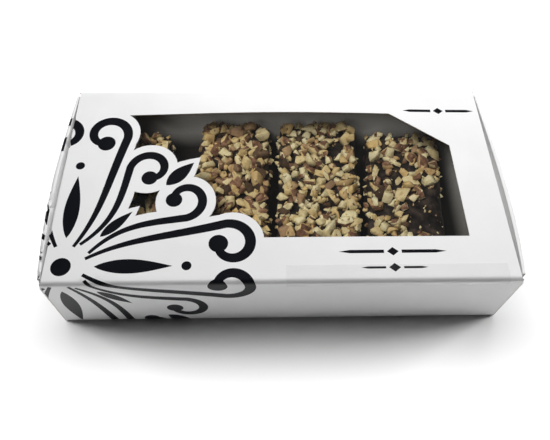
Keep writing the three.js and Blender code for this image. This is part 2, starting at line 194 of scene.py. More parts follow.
# Camera: found from the carton's corners in the photograph
CAMERA_PLACE = (-8.618, -143.781, 239.136)
CAMERA_TURN = (-0.544157585, 0.024054481, 0.008205935)
FOCAL_PIXELS = 563.465
IMAGE_WIDTH = 550
SENSOR_WIDTH = 36


# Meshes

def put(name, data):
    thing = bpy.data.objects.new(name, data)
    bpy.context.scene.collection.objects.link(thing)
    return thing


def add_mesh(name, points, faces, materials, marks=()):
    """A smooth mesh object from points in millimetres; marks say which material each face has."""
    mesh = bpy.data.meshes.new(name)
    mesh.from_pydata([tuple(c * MM for c in p) for p in points], [], faces)
    for material in materials:
        mesh.materials.append(material)
    if marks:
        mesh.polygons.foreach_set("material_index", np.asarray(marks, np.int32))
    mesh.polygons.foreach_set("use_smooth", np.full(len(mesh.polygons), True))
    mesh.update()
    return put(name, mesh)


def settle(piece, node):
    """Makes a piece ride with the part, and hides the node that it stands for."""
    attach(piece, "root")
    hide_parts(node)


def crease(piece, angle):
    piece.data.set_sharp_from_angle(angle=math.radians(angle))


def weld(piece):
    """Joins the points that lie together, and drops a face where two lie on each other."""
    bm = bmesh.new()
    bm.from_mesh(piece.data)
    bmesh.ops.remove_doubles(bm, verts=bm.verts, dist=SAME_PLACE * MM)
    doubled = [f for f in bm.faces if all(len(e.link_faces) > 2 for e in f.edges)]
    bmesh.ops.delete(bm, geom=doubled, context="FACES_ONLY")
    bm.to_mesh(piece.data)
    bm.free()


def arc(x, y, radius, start, end, steps):
    angles = np.radians(np.linspace(start, end, steps + 1))
    return [(x + radius * math.cos(a), y + radius * math.sin(a)) for a in angles]


def disc(x, y, radius, sides):
    return arc(x, y, radius, 0, 360, sides)[:-1]


def rectangle(x_low, y_low, x_high, y_high):
    return [(x_low, y_low), (x_high, y_low), (x_high, y_high), (x_low, y_high)]


def spread(stops, step):
    """Values spread evenly between fixed stops, so that folds get rows of their own."""
    values = []
    for a, b in zip(stops, stops[1:]):
        count = max(1, round((b - a) / step))
        values += [a + (b - a) * i / count for i in range(count)]
    return values + [stops[-1]]


def grid_quads(rows, columns, first=0):
    """Faces over a grid whose points are listed row by row."""
    starts = [first + i * columns + j for i in range(rows - 1) for j in range(columns - 1)]
    return [(a, a + columns, a + columns + 1, a + 1) for a in starts]


def rim_edges(faces):
    """The edges that only one face has."""
    edges = dict.fromkeys(edge for face in faces for edge in zip(face, face[1:] + face[:1]))
    return [(a, b) for a, b in edges if (b, a) not in edges]


def other_side(faces, count):
    """A thin sheet's second side, whose points come count later, and the rims between both."""
    inner = [[i + count for i in reversed(face)] for face in faces]
    return inner, [(b, a, a + count, b + count) for a, b in rim_edges(faces)]


def joined(parts):
    """The points of several parts in one list, and their faces or edges in another."""
    points, faces = [], []
    for part_points, part_faces, *_ in parts:
        first = len(points)
        points += part_points
        faces += [[first + i for i in face] for face in part_faces]
    return points, faces


# Plane regions

def inside(points, polygon):
    """Which points a polygon winds round, whatever way it runs and wherever it crosses itself."""
    points = np.asarray(points, float)
    poly = np.asarray(polygon, float)
    near = np.where(((points >= poly.min(0)) & (points <= poly.max(0))).all(1))[0]
    x, y = points[near].T
    winding = np.zeros(len(near), int)
    for (xa, ya), (xb, yb) in zip(poly, np.roll(poly, -1, axis=0)):
        side = (xb - xa) * (y - ya) - (x - xa) * (yb - ya)
        winding += (ya <= y) & (yb > y) & (side > 0)
        winding -= (ya > y) & (yb <= y) & (side < 0)
    found = np.zeros(len(points), bool)
    found[near] = winding != 0
    return found


def inside_any(points, polygons):
    found = np.zeros(len(points), bool)
    for polygon in polygons:
        found |= inside(points, polygon)
    return found


def triangulate(points, edges):
    """Constrained Delaunay triangles over the points' hull."""
    touching = 1e-4
    no_area = 1e-9
    vertices, _, faces, _, _, _ = delaunay_2d_cdt([Vector(p) for p in points], edges, [], 0, touching)
    vertices = np.array([tuple(v) for v in vertices])
    faces = np.array([tuple(f) for f in faces], int)
    a, b, c = (vertices[faces[:, i]] for i in range(3))
    turn = (b[:, 0] - a[:, 0]) * (c[:, 1] - a[:, 1]) - (b[:, 1] - a[:, 1]) * (c[:, 0] - a[:, 0])
    faces[turn < 0] = faces[turn < 0][:, ::-1]
    return vertices, faces[np.abs(turn) > no_area]


def loop(polygon):
    """A polygon's points and the edges between them."""
    count = len(polygon)
    return polygon, [(i, (i + 1) % count) for i in range(count)]


def border(polygons, test):
    """Border of the region where test holds, as points and edges, with nothing left inside it."""
    vertices, faces = triangulate(*joined(loop(polygon) for polygon in polygons))
    edges = rim_edges(faces[test(vertices[faces].mean(1))].tolist())
    used = sorted({i for edge in edges for i in edge})
    place = {old: new for new, old in enumerate(used)}
    return [tuple(vertices[i]) for i in used], [(place[a], place[b]) for a, b in edges]


# Ornament

def from_centre(polygons):
    return [np.add(polygon, ORNAMENT_CENTRE).tolist() for polygon in polygons]


def band(line, widths, margin):
    """Outline of a band along a line, its width running through three values."""
    first, middle, last = (width + 2 * margin for width in widths)
    line = np.array(line)
    share = np.linspace(0, 1, len(line))
    swelling = (middle - (first + last) / 2) * np.sin(math.pi * share)
    half = (first + (last - first) * share + swelling) / 2
    along = np.vstack([line[1:], line[-1:]]) - np.vstack([line[:1], line[:-1]])
    across = along[:, ::-1] * (-1, 1) * (half / np.hypot(*along.T))[:, None]
    return np.vstack([line - across, (line + across)[::-1]]).tolist()


def cubic(controls, steps):
    t = np.linspace(0, 1, steps + 1)
    weights = np.array([(1 - t) ** 3, 3 * (1 - t) ** 2 * t, 3 * (1 - t) * t * t, t ** 3])
    return (weights.T @ np.array(controls)).tolist()


def stem_line(stem, steps):
    """The stem's run from its root to where its curl starts."""
    start = math.radians(stem["start"])
    heading = start + (math.pi / 2 if stem["start"] < 90 else -math.pi / 2)
    eye, reach, pull = stem["eye"], stem["reach"], stem["pull"]
    join = (eye[0] + reach * math.cos(start), eye[1] + reach * math.sin(start))
    before = (join[0] - pull * math.cos(heading), join[1] - pull * math.sin(heading))
    return cubic((stem["root"], stem["lead"], before, join), steps)


def stem_print(stem):
    """A printed stem that winds up into a curl with a round bulb at its end."""
    x, y = stem["eye"]
    line = stem_line(stem, STEM_STEPS)
    for i in range(1, CURL_STEPS + 1):
        t = i / CURL_STEPS
        angle = math.radians(stem["start"] + stem["turn"] * t)
        radius = stem["reach"] + (stem["inner"] - stem["reach"]) * t ** CURL_SKEW
        line.append((x + radius * math.cos(angle), y + radius * math.sin(angle)))
    return [band(line, stem["widths"], 0), disc(*line[-1], stem["bulb"], DISC_SIDES)]


def stem_ground(stem):
    """Board kept round a stem where the window is cut."""
    x, y, radius = stem["crown"]
    return [band(stem_line(stem, GROUND_STEPS), stem["widths"], ORNAMENT_MARGIN),
            disc(x, y, radius + ORNAMENT_MARGIN, CROWN_SIDES)]


def leaf(base, tip, width, margin, steps, slant):
    """A pointed leaf; slant turns it from the upright to the diagonal."""
    scale = math.sqrt(2) if slant else 1
    reach = np.linspace(base * scale - margin, tip * scale + margin * LEAF_TIP_MARGIN, steps + 1)
    t = np.linspace(0, 1, steps + 1)
    aside = (width / 2 + margin) * np.sin(math.pi * t ** LEAF_SKEW)
    flat = np.hstack([(reach, -aside), np.array([reach, aside])[:, -2:0:-1]])
    angle = math.radians(45 if slant else 90)
    turn = [[math.cos(angle), -math.sin(angle)], [math.sin(angle), math.cos(angle)]]
    return (turn @ flat).T.tolist()


def across_diagonal(polygons):
    return [[(b, a) for a, b in polygon] for polygon in polygons]


def ornament_print():
    """All printed shapes, alike across the diagonal and across both lines through the centre."""
    half = stem_print(OUTER_STEM) + stem_print(INNER_STEM)
    half.append(leaf(*LONG_LEAF, 0, LEAF_STEPS, False))
    half.append(disc(0, *LONG_LEAF_DOT, DOT_SIDES))
    quarter = half + across_diagonal(half)
    quarter += [leaf(*sizes, 0, LEAF_STEPS, True) for sizes in (BUD_LEAF, TIP_LEAF)]
    whole = [[(sx * a, sy * b) for a, b in polygon] for polygon in quarter
             for sx in (1, -1) for sy in (1, -1)]
    return from_centre(whole + [disc(0, 0, CENTRE_DOT, DISC_SIDES)])


def ornament_ground():
    """Board kept round the ornament; only its upper right quarter reaches the window."""
    half = stem_ground(OUTER_STEM) + stem_ground(INNER_STEM)
    leaves = [leaf(*sizes, ORNAMENT_MARGIN, GROUND_LEAF_STEPS, True) for sizes in (BUD_LEAF, TIP_LEAF)]
    return from_centre(half + across_diagonal(half) + leaves)


def rule(x, y, half, thick):
    """A printed line with tapering ends, broken at its middle by a diamond."""
    low, high = y - thick / 2, y + thick / 2
    shapes = []
    for side in (-1, 1):
        inner = x + side * DIAMOND * DIAMOND_CLEAR
        taper = x + side * half * RULE_TAPER
        shapes.append([(inner, low), (taper, low), (x + side * half, y), (taper, high), (inner, high)])
    rise = DIAMOND * DIAMOND_SHARE
    return shapes + [[(x - DIAMOND, y), (x, y - rise), (x + DIAMOND, y), (x, y + rise)]]


# Folded board

WHITE, INK, INSIDE, EDGE = range(4)


def window_outline():
    """The window's edge with places along its sides, so that it follows the swelling of the panel."""
    corners = ((WINDOW_LEFT, WINDOW_NEAR), (WINDOW_RIGHT, WINDOW_NEAR),
               (WINDOW_RIGHT, WINDOW_FAR - CORNER_CUT_Y), (WINDOW_RIGHT - CORNER_CUT_X, WINDOW_FAR),
               (WINDOW_LEFT, WINDOW_FAR))
    places = []
    for start, end in zip(corners, corners[1:] + corners[:1]):
        count = max(1, round(math.dist(start, end) / SHEET_CELL))
        places += np.linspace(start, end, count, endpoint=False).tolist()
    return places


def swell_at(x, y):
    along = math.cos(math.pi * x / PANEL_LENGTH) ** 2
    share = min(max((y + TOP_EDGE) / (2 * TOP_EDGE), 0), 1)
    return SWELL * along * math.sin(math.pi * share ** SWELL_SKEW)


def bow_at(y):
    """How far the upper edge of a closure bows outwards."""
    share = min(max(y / CARTON_DEPTH + 0.5, 0), 1)
    return CLOSURE_BOW * math.sin(math.pi * share ** CLOSURE_BOW_SKEW)


class FoldedRun:
    """A run of straight and round stretches, unrolled by its length, with its inner face beside it.

    Each of its points has two places and may have a share of the closure's bow as well.
    """

    def __init__(self, outer, inner):
        self.lines = (np.array(outer, float), np.array(inner, float))
        steps = np.hypot(*np.diff(self.lines[0][:, :2], axis=0).T)
        self.length = np.concatenate([[0], np.cumsum(steps)])

    def place(self, s, face):
        return [np.interp(s, self.length, values) for values in self.lines[face].T]


def sleeve_run():
    """Round the sleeve from the back's foot: under the bottom, up the front, over the top and down.

    Along the top panel its length equals y.
    """
    corners = ((-1, 0, 270, FRONT_FOLD), (-1, 1, 180, FRONT_FOLD),
               (1, 1, 90, FOLD_RADIUS), (1, 0, 0, FOLD_RADIUS))
    lines = []
    for inset in (0, BOARD):
        line = [(TOP_EDGE, inset)]
        for end, level, start, radius in corners:
            y = end * (CARTON_DEPTH / 2 - radius)
            z = CARTON_HEIGHT - radius if level else radius
            line += arc(y, z, radius - inset, start, start - 90, ROUND_STEPS)
        lines.append(line)
    run = FoldedRun(*lines)
    outer = run.lines[0]
    top = np.argmax(outer[:, 1] > CARTON_HEIGHT - SAME_PLACE)
    run.length += outer[top, 0] - run.length[top]
    return run


def closure_run():
    """A right-hand closure from its tuck under the top panel, over the fold and down to the bottom."""
    seam = PANEL_LENGTH / 2
    face = seam + CLOSURE_STAND
    fold_z = CARTON_HEIGHT - CLOSURE_FOLD
    tuck_top = CARTON_HEIGHT - BOARD - TUCK_DROP
    lines = []
    for inset in (0, BOARD):
        crest = arc(face - CLOSURE_FOLD, fold_z, CLOSURE_FOLD - inset, CLOSURE_FOLD_TURN, 0, CREST_STEPS)
        shares = np.linspace(CREST_SHARE, 1, CREST_STEPS + 1)
        foot = arc(face - FOLD_RADIUS, FOLD_RADIUS, FOLD_RADIUS - inset, 360, 270, FOOT_STEPS)
        line = [(seam - TUCK_REACH, tuck_top - inset, 0),
                (seam - TUCK_FOOT + inset, tuck_top - inset, FOOT_SHARE)]
        line += [(x, z, share) for (x, z), share in zip(crest, shares)]
        line += [(face - inset, CORNER_LOW, 1)]
        line += [(x, z, 1) for x, z in foot]
        lines.append(line + [(seam - BOARD, inset, 0)])
    return FoldedRun(*lines)


def board_sheet(columns, rows, printed=(), bare=(), windows=(), grounds=()):
    """Flat pattern of a sheet: its points, triangles and which of them carry ink.

    No ink lies on the bare places, and the windows are cut except where the grounds are.
    """
    outline = rectangle(columns[0], rows[0], columns[-1], rows[-1])

    def has_ink(places):
        return inside_any(places, printed) & ~inside_any(places, bare)

    def is_cut(places):
        return inside_any(places, windows) & ~inside_any(places, grounds)

    regions = []
    if printed:
        regions.append(border([outline, *bare, *printed],
                              lambda places: inside(places, outline) & has_ink(places)))
    if windows:
        regions.append(border([*windows, *grounds], is_cut))
    lines = [(places[a], places[b]) for places, edges in regions for a, b in edges]
    grid = away_from_lines([(x, y) for x in columns for y in rows], lines, outline)
    vertices, faces = triangulate(*joined([(grid, []), *regions, loop(outline)]))
    centres = vertices[faces].mean(1)
    kept = inside(centres, outline) & ~is_cut(centres)
    return vertices, faces[kept], has_ink(centres[kept])


def away_from_lines(points, lines, outline):
    """Drops grid points that would make slivers beside a drawn line, except those on the sheet's edge."""
    if not lines:
        return points
    on_line = 1e-6
    no_length = 1e-12
    places = np.array(points)
    low, high = np.min(outline, axis=0), np.max(outline, axis=0)
    on_edge = ((np.abs(places - low) < on_line) | (np.abs(places - high) < on_line)).any(1)
    start = np.array([a for a, _ in lines])
    run = np.array([b for _, b in lines]) - start
    length = (run ** 2).sum(1) + no_length
    kept = []
    for place, stays in zip(places, on_edge):
        share = np.clip(((place - start) * run).sum(1) / length, 0, 1)
        gap = ((start + run * share[:, None] - place) ** 2).sum(1).min()
        if stays or gap > LINE_CLEARANCE ** 2:
            kept.append(tuple(place))
    return kept


def fold_sheet(vertices, faces, inked, place):
    """Both faces of the board and its cut edges, from the flat pattern; place maps it, by face."""
    used = np.unique(faces)
    points = [place(x, s, face) for face in (0, 1) for x, s in vertices[used]]
    outer = np.searchsorted(used, faces).tolist()
    inner, rims = other_side(outer, len(used))
    marks = [INK if ink else WHITE for ink in inked] + [INSIDE] * len(inner) + [EDGE] * len(rims)
    return points, outer + inner + rims, marks


def make_sleeve(printed):
    run = sleeve_run()
    ends = PANEL_LENGTH / 2
    short = ends - TOP_PANEL_SHORT
    columns = spread([-ends, -short, short, ends], BOARD_COLUMN)
    vertices, faces, inked = board_sheet(columns, spread(run.length, SLEEVE_ROW), printed,
                                         windows=[window_outline()], grounds=ornament_ground())
    centres = vertices[faces].mean(1)
    kept = ~((np.abs(centres[:, 0]) > short) & (np.abs(centres[:, 1]) < TOP_EDGE))

    def place(x, s, face):
        y, z = run.place(s, face)
        if abs(s) < TOP_EDGE:
            z += swell_at(x, y)
        return (x, y, z)

    return fold_sheet(vertices, faces[kept], inked[kept], place)


FOLD_BARE = 0.2 # length of the closure's fold that carries no ink, from where it leaves the seam
BEYOND = 1 # how far the bare strip reaches past the sheet


def make_closure(side, printed):
    run = closure_run()
    half = CARTON_DEPTH / 2 - CLOSURE_SIDE_GAP
    corner = CARTON_DEPTH / 2 - CLOSURE_CORNER
    seam = PANEL_LENGTH / 2
    unrolled = [[(y, TUCK_REACH + side * x - seam) for x, y in polygon] for polygon in printed]
    columns = spread([-half, -corner, corner, half], BOARD_COLUMN)
    fold_start, corner_end = run.length[2], run.length[3 + CREST_STEPS]
    bare = rectangle(-half - BEYOND, -BEYOND, half + BEYOND, fold_start + FOLD_BARE)
    vertices, faces, inked = board_sheet(columns, spread(run.length, CLOSURE_ROW), unrolled, [bare])
    centres = vertices[faces].mean(1)
    kept = (np.abs(centres[:, 0]) < corner) | (centres[:, 1] > corner_end)
    faces = faces[kept]
    if side > 0:
        faces = faces[:, ::-1]

    def place(y, s, face):
        x, z, share = run.place(s, face)
        return (side * (x + bow_at(y) * share * z / CARTON_HEIGHT), y, z)

    return fold_sheet(vertices, faces, inked[kept], place)


def make_dust_flap(side, end):
    half = CARTON_DEPTH / 2
    reach = sorted((end * (half - BOARD / 2), end * (half - DUST_FLAP_REACH)))
    vertices, faces, inked = board_sheet(
        spread(reach, FLAP_CELL), spread([DUST_FLAP_LOW, DUST_FLAP_HIGH], FLAP_CELL))
    if side < 0:
        faces = faces[:, ::-1]

    def place(y, z, face):
        return (side * (PANEL_LENGTH / 2 - BOARD * face), y, z)

    return fold_sheet(vertices, faces, inked, place)


def make_carton(materials):
    """The folded carton: white outside with black print, its cut edges and its plain inside."""
    printed = ornament_print() + [shape for sizes in RULES for shape in rule(*sizes)]
    sheets = [make_sleeve(printed)]
    for side in (-1, 1):
        sheets.append(make_closure(side, printed if side < 0 else []))
        sheets += [make_dust_flap(side, end) for end in (-1, 1)]
    marks = [mark for *_, sheet_marks in sheets for mark in sheet_marks]
    piece = add_mesh("carton_board", *joined(sheets), materials, marks)
    weld(piece)
    crease(piece, CREASE)
    settle(piece, "carton")


# Film and tape

def make_sheet(name, columns, rows, place, material):
    """A closed thin sheet over a grid; place gives a point for each of its faces."""
    points = [place(x, y, face) for face in (0, 1) for x in columns for y in rows]
    outer = grid_quads(len(columns), len(rows))
    inner, rims = other_side(outer, len(points) // 2)
    piece = add_mesh(name, points, outer + inner + rims, [material])
    crease(piece, CREASE)
    return piece


def make_film(material):
    """Clear film under the top panel, drawn tight with faint ripples."""
    columns = spread([WINDOW_LEFT - FILM_LAP, WINDOW_RIGHT + FILM_LAP], SHEET_CELL)
    rows = spread([WINDOW_NEAR - FILM_LAP, WINDOW_FAR + FILM_LAP], SHEET_CELL)
    top = CARTON_HEIGHT - BOARD - FILM_GAP

    def place(x, y, face):
        wave = math.sin(x * RIPPLE_ALONG + RIPPLE_SWAY * math.sin(y * RIPPLE_BEND))
        ripple = RIPPLE_HEIGHT * wave * math.sin(y * RIPPLE_ACROSS + RIPPLE_START)
        return (x, y, top + swell_at(x, y) - FILM_SAG + ripple - face * FILM * THINNER)

    settle(make_sheet("clear_window_film", columns, rows, place, material), "window_film")


def make_tape(material):
    """Clear tape bent over the front fold."""
    front = -CARTON_DEPTH / 2
    low = CARTON_HEIGHT - FOLD_RADIUS - TAPE_ON_FRONT
    lines = []
    for gap in (TAPE_GAP + TAPE * THINNER, TAPE_GAP):
        fold = arc(front + FRONT_FOLD, CARTON_HEIGHT - FRONT_FOLD, FRONT_FOLD + gap, 180, 90, ROUND_STEPS)
        lines.append([(front - gap, low), *fold, (front + TAPE_ON_TOP, CARTON_HEIGHT + gap)])
    run = FoldedRun(*lines)
    columns = spread([TAPE_LEFT, TAPE_RIGHT], TAPE_COLUMN)
    rows = spread(run.length, TAPE_ROW)

    def place(x, s, face):
        return (x, *run.place(s, face))

    settle(make_sheet("closing_tape_strip", columns, rows, place, material), "closing_tape")


# Tray

def rounded_ring(half_x, half_y, radius):
    ring = []
    for x, y, start in ((1, 1, 0), (-1, 1, 90), (-1, -1, 180), (1, -1, 270)):
        middle = (x * (half_x - radius), y * (half_y - radius))
        ring += arc(*middle, radius, start, start + 90, ROUND_STEPS)
    return ring


def tray_profile(wall):
    """Stations up one face of the plastic, from the floor over the round foot to the rim.

    Each is a height and how far it stands out from the foot of the inner wall.
    """
    floor = TRAY_LIFT + TRAY_WALL - wall
    radius = TRAY_FOOT_RADIUS + wall
    straight = TRAY_HEIGHT - TRAY_FOOT_RADIUS - TRAY_WALL
    stations = []
    for i in range(ROUND_STEPS + 1):
        turn = math.radians(90 * i / ROUND_STEPS)
        stations.append((floor + radius * (1 - math.cos(turn)), wall - radius * (1 - math.sin(turn))))
    for i in range(1, TRAY_WALL_STEPS + 1):
        rise = radius + straight * i / TRAY_WALL_STEPS
        stations.append((min(floor + rise, TRAY_LIFT + TRAY_HEIGHT - wall), wall))
    return stations


def make_tray(material):
    """A formed tub: flat floor, round foot, leaning walls, round corners and a rim."""
    top = TRAY_LIFT + TRAY_HEIGHT
    rim = [(top, TRAY_RIM + RIM_FLAT), (top - RIM_BEVEL, TRAY_RIM + RIM_LIP),
           (top - TRAY_WALL, TRAY_RIM + RIM_LIP)]
    stations = tray_profile(0) + rim + tray_profile(TRAY_WALL)[::-1]
    points = []
    for z, grow in stations:
        height = z - TRAY_LIFT
        half_x = TRAY_FLOOR_LENGTH / 2 + height * TRAY_LEAN_ENDS + grow
        half_y = TRAY_FLOOR_DEPTH / 2 + height * TRAY_LEAN_SIDES + grow
        points += [(x, y, z) for x, y in rounded_ring(half_x, half_y, TRAY_CORNER + grow)]
    rings = np.arange(len(points)).reshape(len(stations), -1)
    low, high = rings[:-1], rings[1:]
    faces = np.dstack((low, high, np.roll(high, -1, 1), np.roll(low, -1, 1))).reshape(-1, 4).tolist()
    faces += [rings[0].tolist(), rings[-1][::-1].tolist()]
    piece = add_mesh("formed_tray", points, faces, [material])
    crease(piece, TRAY_CREASE)
    settle(piece, "tray")


# Bars

BAR_ROUND = (5.0, 5.0, 3.0)
BAR_CELL = 1.0
BAR_FOOT = 2.0 # height over which the unevenness grows from nothing at the bar's foot
LUMPS = ((0.75, 8.5), (0.35, 2.8)) # heights and widths of the chocolate's unevenness
LUMP_SINK = 0.25
LUMP_START = Vector((0, 0, 5.1))
LUMP_SHIFT = Vector((31.7, 17.3, 0)) # from bar to bar, so that no two are uneven alike


def bar_matrix(index):
    bar = BARS[index]
    turn = Matrix.Rotation(math.radians(bar["turn"]), 4, "Z")
    return Matrix.Translation((bar["x"], bar["y"], BAR_LIFT)) @ turn


def bar_surface(point, half, shift):
    """Moves a point on a block's faces to the bar's rounded and uneven form, with its foot at 0."""
    core = [min(max(c, radius - size), size - radius) for c, size, radius in zip(point, half, BAR_ROUND)]
    bend = [(c - near) / radius for c, near, radius in zip(point, core, BAR_ROUND)]
    length = math.sqrt(sum(b * b for b in bend))
    place = Vector([near + radius * b / length for near, b, radius in zip(core, bend, BAR_ROUND)])
    outward = Vector([c / size ** 2 for c, size in zip(place, half)]).normalized()
    lump = sum(height * noise.noise((place + shift) / width) for height, width in LUMPS)
    height = place.z + half[2]
    place += outward * (lump - LUMP_SINK) * min(1, height / BAR_FOOT)
    return place + Vector((0, 0, half[2]))


def make_bar_core(index, material):
    """Toffee dipped in chocolate: a rounded slab, uneven all over except at its foot."""
    half = (BARS[index]["width"] / 2, BARS[index]["length"] / 2, BAR_HEIGHT / 2)
    shift = LUMP_START + LUMP_SHIFT * index
    matrix = bar_matrix(index)
    points, faces = [], []
    for axis in range(3):
        us, vs = (spread([-half[k], half[k]], BAR_CELL) for k in range(3) if k != axis)
        for side in (-1, 1):
            quads = grid_quads(len(us), len(vs), len(points))
            flip = (side > 0) == (axis == 1)
            faces += [quad[::-1] for quad in quads] if flip else quads
            for place in ([a, b] for a in us for b in vs):
                place.insert(axis, side * half[axis])
                points.append(matrix @ bar_surface(place, half, shift))
    piece = add_mesh(f"chocolate_bar_{index + 1}", points, faces, [material])
    weld(piece)
    settle(piece, f"bar_{index + 1}")


# Kinds of chopped nuts

KIND_SEED = 77
NUT_KINDS = 54
PLAIN_KINDS = 16 # the first kinds have no skin on them
SIDE_KINDS = 44 # the kinds from here on carry their skin on top
NUT_BLOCK = 3
NUT_BEVEL = 0.1
NUT_WELD = 0.002
SIDE_TILT = 0.35
SIDE_REACH = (0.58, 0.86)
CHIPS = 5
CHIP_REACH = (0.78, 0.98)
SKIN_REACH = 0.60
SKIN_FACETS = 5
SKIN_WOBBLE = 10
SKIN_SLANT = (0.4, 0.6)
FACET_REACH = (0.64, 0.70)
TOP_SKIN_RISE = 1.2


def make_random(seed):
    """The run of draws that the solids' nuts use."""
    state = [seed]

    def draw(low, high):
        state[0] = (state[0] * 1664525 + 1013904223) % 4294967296
        return low + (high - low) * state[0] / 4294967296

    return draw


def any_way(draw, reach=1):
    return [draw(-reach, reach) for _ in range(3)]


def cut_lump(planes):
    """A block cut by planes, each with its normal, its reach and whether it leaves skin."""
    bm = bmesh.new()
    bmesh.ops.create_cube(bm, size=NUT_BLOCK)
    marks = bm.faces.layers.int.new("skinned")
    for normal, reach, skinned in planes:
        normal = Vector(normal).normalized()
        everything = bm.verts[:] + bm.edges[:] + bm.faces[:]
        cut = bmesh.ops.bisect_plane(bm, geom=everything, plane_co=normal * reach, plane_no=normal,
                                     clear_outer=True)
        rim = [item for item in cut["geom_cut"] if isinstance(item, bmesh.types.BMEdge)]
        if rim:
            for face in bmesh.ops.edgeloop_fill(bm, edges=rim)["faces"]:
                face[marks] = skinned
    bmesh.ops.bevel(bm, geom=bm.edges[:], offset=NUT_BEVEL, offset_type="OFFSET", segments=1,
                    profile=0.5, affect="EDGES", clamp_overlap=True)
    bmesh.ops.remove_doubles(bm, verts=bm.verts, dist=NUT_WELD)
    bmesh.ops.triangulate(bm, faces=bm.faces)
    bmesh.ops.recalc_face_normals(bm, faces=bm.faces)
    bm.verts.index_update()
    points = np.array([tuple(vert.co) for vert in bm.verts])
    faces = np.array([[vert.index for vert in face.verts] for face in bm.faces])
    skin = np.array([face[marks] for face in bm.faces])
    bm.free()
    return points, faces, skin


def nut_kind(draw, kind):
    """A chopped piece with flat cut sides; a skinned one keeps a round side of the whole nut."""
    planes = []
    for axis in range(3):
        for side in (-1, 1):
            normal = any_way(draw, SIDE_TILT)
            normal[axis] = side
            planes.append((normal, draw(*SIDE_REACH), 0))
    for _ in range(CHIPS):
        planes.append((any_way(draw), draw(*CHIP_REACH), 0))
    if kind >= PLAIN_KINDS:
        middle = Vector(any_way(draw))
        if kind >= SIDE_KINDS:
            middle.z = TOP_SKIN_RISE
        middle.normalize()
        aside = middle.orthogonal().normalized()
        planes.append((middle, SKIN_REACH, 1))
        for facet in range(SKIN_FACETS):
            turn = 360 / SKIN_FACETS * facet + draw(-SKIN_WOBBLE, SKIN_WOBBLE)
            tilt = Matrix.Rotation(math.radians(turn), 3, middle) @ aside
            planes.append((middle + tilt * draw(*SKIN_SLANT), draw(*FACET_REACH), 1))
    return cut_lump(planes)


# Where the nuts lie

LOOSE_SEED = 900
LOOSE_FORM = ((0.6, 0.9), (0.5, 0.8))
EXTRA_NUTS = (205, 280, 262, 200)
EXTRA_SIZES = (1.6, 3.9)
EXTRA_SKEW = 1.5 # above 1 there are more small ones than large ones
EXTRA_OVERHANG = 0.7
EXTRA_INSET = 0.8
EXTRA_TRIES = 3
REST_LEAN = 1
REST_REACH = 0.7
REST_RISE = 0.4
EDGE_NUTS = 48
EDGE_SIZES = (1.0, 2.0)
EDGE_DROP = (1.5, 6.0)
EDGE_LEAN = 1.5
EDGE_ENDS = 4
EDGE_STAND = 0.6 # how far a nut's middle may lie inside or outside the bar's side
CRUMBS = 90
CRUMB_SIZES = (0.3, 0.8)
CRUMB_INSET = 1.5
SMALL_BARE = (
    ((-6, 20, 3), (5, 5, 3)),
    ((-8.8, 33, 2.5), (-0.2, 23.5, 3)),
    ((-12.5, 18, 2.2), (1, -6.5, 2.6)),
    ((-10, 15, 3), (2, -9, 5), (18, 2, 8), (18, -12, 8), (17, -22, 6)),
)
HEAP_CELL = 0.5
HEAP_MARGIN = 3
SHOULDER = 4 # how far in from its sides a bar's top starts to round off
SHOULDER_DROP = 5.0
TOP_SINK = 0.3


class Heap:
    """A bar's nuts and the height they reach, so that each one rests on what lies under it."""

    def __init__(self, half_x, half_y):
        self.nuts = []
        self.x = np.arange(-half_x - HEAP_MARGIN, half_x + HEAP_MARGIN, HEAP_CELL)
        self.y = np.arange(-half_y - HEAP_MARGIN, half_y + HEAP_MARGIN, HEAP_CELL)
        self.gx, self.gy = np.meshgrid(self.x, self.y, indexing="ij")
        over = [np.maximum(np.abs(grid) - (half - SHOULDER), 0) / SHOULDER
                for grid, half in ((self.gx, half_x), (self.gy, half_y))]
        over = np.minimum(np.hypot(*over), 1)
        self.heights = BAR_HEIGHT - TOP_SINK - SHOULDER_DROP * (1 - np.sqrt(1 - over ** 2))

    def cells(self, x, y, reach):
        i0, i1 = np.searchsorted(self.x, (x - reach, x + reach))
        j0, j1 = np.searchsorted(self.y, (y - reach, y + reach))
        area = (slice(i0, max(i1, 1)), slice(j0, max(j1, 1)))
        away = ((self.gx[area] - x) ** 2 + (self.gy[area] - y) ** 2) / reach ** 2
        return area, away

    def under(self, x, y, reach):
        area, away = self.cells(x, y, reach)
        return float(np.mean(self.heights[area][away < 1])) if (away < 1).any() else BAR_HEIGHT

    def add(self, x, y, centre, stretch, tilt):
        self.nuts.append(((x, y, centre), stretch, tilt))
        area, away = self.cells(x, y, (stretch[0] + stretch[1]) / 2)
        top = centre + stretch[2] * np.sqrt(np.maximum(1 - away, 0))
        self.heights[area] = np.where(away < 1, np.maximum(self.heights[area], top), self.heights[area])

    def rest(self, draw, x, y, size):
        low = self.under(x, y, size * REST_REACH)
        stretch, tilt = nut_form(draw, size, *LOOSE_FORM, REST_LEAN)
        self.add(x, y, low + stretch[2] * REST_RISE, stretch, tilt)


def nut_form(draw, size, widths, heights, lean):
    """A nut's half sizes and its turn."""
    stretch = (size, size * draw(*widths), size * draw(*heights))
    return stretch, (draw(-lean, lean), draw(-lean, lean), draw(0, math.pi * 2))


def is_bare(places, x, y):
    return any(math.dist((x, y), place) < radius for *place, radius in places)


def edge_place(draw, half_x, half_y):
    """A place on a bar's sides, where some pieces of nut have stuck below its top."""
    along = draw(-1, 1)
    side = 1 if draw(-1, 1) > 0 else -1
    if draw(0, 1) < half_y / (half_x + half_y):
        return side * (half_x + draw(-EDGE_STAND, EDGE_STAND)), along * (half_y - EDGE_ENDS)
    return along * (half_x - EDGE_ENDS), side * (half_y + draw(-EDGE_STAND, EDGE_STAND))


